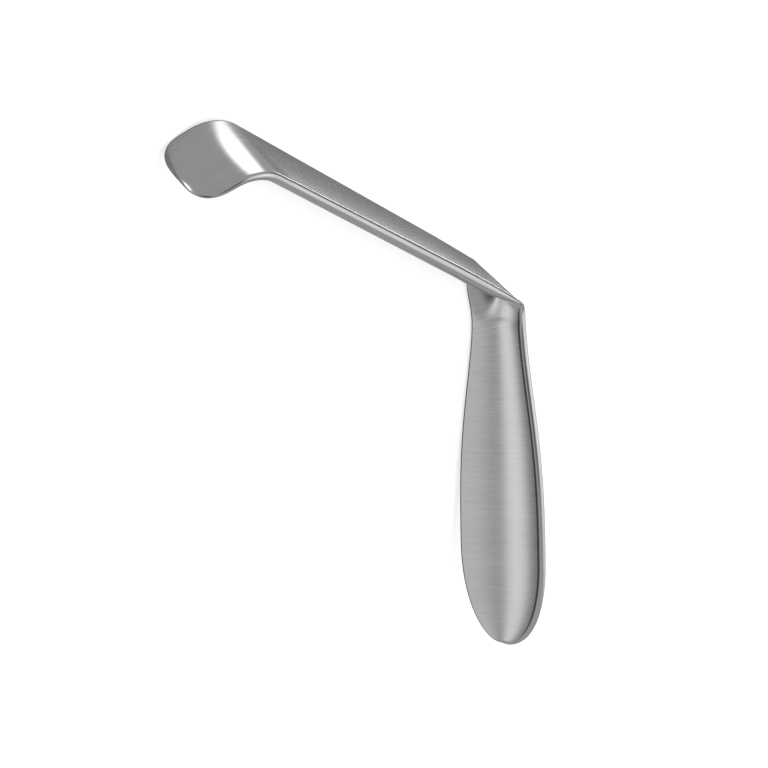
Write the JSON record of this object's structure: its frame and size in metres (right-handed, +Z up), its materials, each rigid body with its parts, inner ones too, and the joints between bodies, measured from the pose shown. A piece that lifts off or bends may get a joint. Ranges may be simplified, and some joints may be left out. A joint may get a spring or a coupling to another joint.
{
  "type": "surgical retractor",
  "caption": "Hand-held retractor with a flat oval handle, a bent and turned tapering arm and a short hooked blade that draws tissue back.",
  "frame": {"origin": "middle of the footprint, on the surface that the part lies on", "axes": "+Z up from the table, across the part's width; +Y along the handle from its heel to the neck; the arm runs towards -X"},
  "size_m": [0.1171, 0.1696, 0.034],
  "materials": {
    "steel": "satin ground stainless steel"
  },
  "bodies": {
    "root": {"retractor": "steel"}
  },
  "joints": []
}
